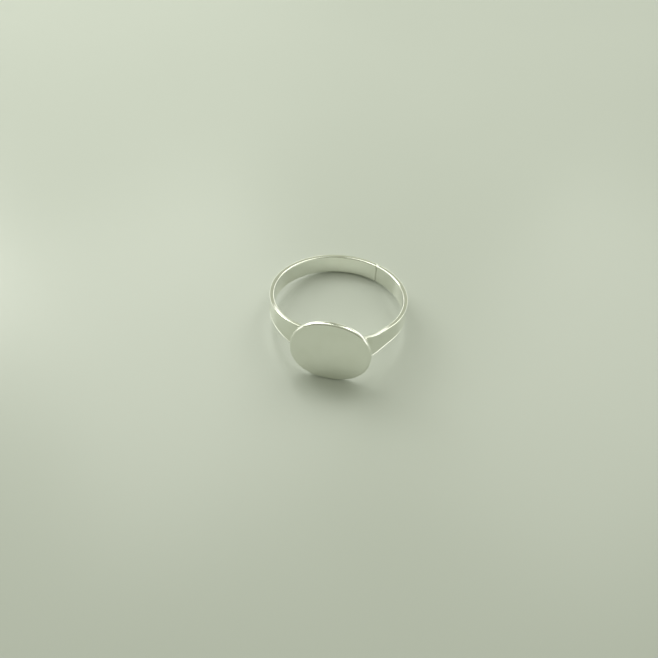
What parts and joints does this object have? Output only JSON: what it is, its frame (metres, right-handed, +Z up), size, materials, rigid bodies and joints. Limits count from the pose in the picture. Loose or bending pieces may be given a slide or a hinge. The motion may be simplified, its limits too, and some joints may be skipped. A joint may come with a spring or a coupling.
{
  "type": "signet ring",
  "caption": "Polished metal signet ring: a thin round shank that widens to a flat oval plate soldered across its head, lying on its side.",
  "frame": {"origin": "on the table, under the middle of the ring's box, as the ring lies on its side on the plate's lower edge and the back of the shank", "axes": "+Z up, the signet plate faces -Y and a little up, and the finger's axis leans back from +Z towards +Y by 11.1 degrees"},
  "size_m": [0.0192, 0.0206, 0.0092],
  "materials": {
    "silver": "polished sterling silver, lightly worn",
    "plate_silver": "polished sterling silver flat with fine wear scratches",
    "solder": "silver solder, slightly duller than the ring"
  },
  "bodies": {
    "root": {"shank": "silver", "signet_plate": "plate_silver", "plate_solder": "solder", "seam_solder": "solder"}
  },
  "joints": []
}
